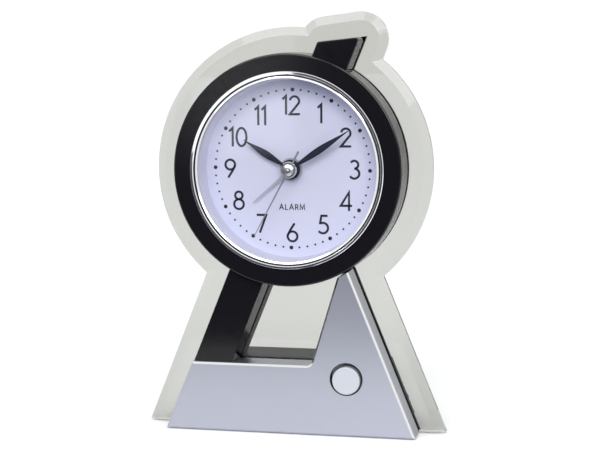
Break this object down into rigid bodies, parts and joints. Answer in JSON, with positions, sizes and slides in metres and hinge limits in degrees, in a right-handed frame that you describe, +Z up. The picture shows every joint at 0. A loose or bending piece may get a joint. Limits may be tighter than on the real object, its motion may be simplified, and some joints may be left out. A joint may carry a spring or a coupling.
{
  "type": "alarm clock",
  "caption": "Battery alarm clock with a round head on a slanted bar and a triangular foot, a clear bevelled back plate, snooze and light buttons and a hinged battery door.",
  "frame": {"origin": "centre of the clock's bounding box in plan, on the surface that it stands on", "axes": "+Z up, +Y from the dial towards the back, so the dial faces -Y and +X is on its right"},
  "size_m": [0.097, 0.037, 0.1318],
  "materials": {
    "black_plastic": "gloss moulded black",
    "silver_plastic": "satin silver paint",
    "frame_plastic": "matt moulded black",
    "rear_plastic": "satin moulded black",
    "clear_plate": "polished clear",
    "chrome": "bright plated",
    "lens": "polished clear",
    "dial_ring": "satin white",
    "dial_face": "satin printed",
    "dark_hand": "satin",
    "silver_hand": "fine satin",
    "gear_plastic": "natural white",
    "rotor_plastic": "natural white",
    "brass": "turned",
    "movement_plastic": "natural white",
    "steel": "zinc plated",
    "copper_wire": "enamelled winding",
    "circuit_board": "solder mask",
    "chip": "black epoxy",
    "switch_plastic": "moulded black",
    "lamp": "clear epoxy",
    "battery": "printed sleeve",
    "white_button": "gloss moulded",
    "rubber": "matt"
  },
  "bodies": {
    "case": {"front_housing": "black_plastic", "base_cover": "silver_plastic", "head_frame": "frame_plastic", "foot_frame": "frame_plastic", "rear_housing": "rear_plastic", "back_plate": "clear_plate", "chrome_bezel": "chrome", "lens": "lens", "dial_ring": "dial_ring", "dial": "dial_face", "dial_lamp": "lamp", "movement_case_front": "movement_plastic", "movement_case_back": "movement_plastic", "stator": "steel", "motor_coil": "copper_wire", "circuit_board": "circuit_board", "control_chip": "chip", "crystal": "steel", "alarm_switch_contact": "steel", "snooze_switch": "switch_plastic", "light_switch": "switch_plastic", "light_spring": "steel", "battery_cell": "battery", "battery_contact": "steel", "battery_spring": "steel", "buzzer": "chip", "case_screws": "steel", "frame_screws": "steel", "movement_screws": "steel", "rubber_feet": "rubber"},
    "minute_group": {"centre_arbor": "brass", "minute_hand": "dark_hand"},
    "hour_group": {"hour_wheel": "gear_plastic", "hour_hand": "dark_hand"},
    "second_group": {"second_arbor": "gear_plastic", "second_hand": "silver_hand", "hub_cap": "chrome"},
    "third_wheel": {"third_wheel": "gear_plastic"},
    "intermediate_wheel": {"intermediate_wheel": "gear_plastic"},
    "rotor": {"rotor": "rotor_plastic"},
    "minute_wheel": {"minute_wheel": "gear_plastic"},
    "time_setting": {"time_stem": "gear_plastic", "time_knob": "rear_plastic"},
    "alarm_group": {"alarm_wheel": "gear_plastic", "alarm_hand": "silver_hand"},
    "alarm_setting": {"alarm_stem": "gear_plastic", "alarm_knob": "rear_plastic"},
    "snooze": {"snooze_button": "black_plastic"},
    "light": {"light_button": "white_button"},
    "alarm_switch": {"alarm_switch_slider": "white_button"},
    "battery_door": {"battery_door": "rear_plastic"}
  },
  "joints": [
    {"name": "minute_spin", "type": "hinge", "parent": "case", "child": "minute_group", "pos_m": [0, 0, 0.0831], "axis": [0, 1, 0], "continuous": true},
    {"name": "hour_spin", "type": "hinge", "parent": "case", "child": "hour_group", "pos_m": [0, 0, 0.0831], "axis": [0, 1, 0], "continuous": true},
    {"name": "second_spin", "type": "hinge", "parent": "case", "child": "second_group", "pos_m": [0, 0, 0.0831], "axis": [0, 1, 0], "continuous": true},
    {"name": "third_spin", "type": "hinge", "parent": "case", "child": "third_wheel", "pos_m": [-0.00578, 0, 0.09311], "axis": [0, 1, 0], "continuous": true},
    {"name": "intermediate_spin", "type": "hinge", "parent": "case", "child": "intermediate_wheel", "pos_m": [0.00767, 0, 0.08589], "axis": [0, 1, 0], "continuous": true},
    {"name": "rotor_spin", "type": "hinge", "parent": "case", "child": "rotor", "pos_m": [0.01243, 0, 0.09414], "axis": [0, 1, 0], "continuous": true},
    {"name": "minute_wheel_spin", "type": "hinge", "parent": "case", "child": "minute_wheel", "pos_m": [0, 0, 0.07494], "axis": [0, 1, 0], "continuous": true},
    {"name": "time_setting_spin", "type": "hinge", "parent": "case", "child": "time_setting", "pos_m": [0.00863, 0, 0.0718], "axis": [0, 1, 0], "continuous": true},
    {"name": "alarm_spin", "type": "hinge", "parent": "case", "child": "alarm_group", "pos_m": [0, 0, 0.0831], "axis": [0, 1, 0], "continuous": true},
    {"name": "alarm_setting_spin", "type": "hinge", "parent": "case", "child": "alarm_setting", "pos_m": [-0.01003, 0, 0.07608], "axis": [0, 1, 0], "continuous": true},
    {"name": "snooze_press", "type": "slide", "parent": "case", "child": "snooze", "axis": [-0.3786, 0, -0.9256], "range_m": [0, 0.001], "stiffness_N_per_m": 300, "springref_m": -0.0006},
    {"name": "light_press", "type": "slide", "parent": "case", "child": "light", "axis": [0, 1, 0], "range_m": [0, 0.0012], "stiffness_N_per_m": 300, "springref_m": -0.0006, "deforming": ["light_spring"]},
    {"name": "alarm_switch_slide", "type": "slide", "parent": "case", "child": "alarm_switch", "axis": [1, 0, 0], "range_m": [0, 0.005]},
    {"name": "battery_door_hinge", "type": "hinge", "parent": "case", "child": "battery_door", "pos_m": [0, 0.0177, 0.0032], "axis": [-1, 0, 0], "range_deg": [0, 80]}
  ],
  "couplings": [
    {"joint": "hour_spin", "follows": "minute_spin", "ratio": 0.083333},
    {"joint": "second_spin", "follows": "minute_spin", "ratio": 60},
    {"joint": "third_spin", "follows": "minute_spin", "ratio": -8},
    {"joint": "intermediate_spin", "follows": "minute_spin", "ratio": -300},
    {"joint": "rotor_spin", "follows": "minute_spin", "ratio": 1800},
    {"joint": "minute_wheel_spin", "follows": "minute_spin", "ratio": -0.33333},
    {"joint": "time_setting_spin", "follows": "minute_spin", "ratio": 0.66667},
    {"joint": "alarm_setting_spin", "follows": "alarm_spin", "ratio": -1}
  ]
}
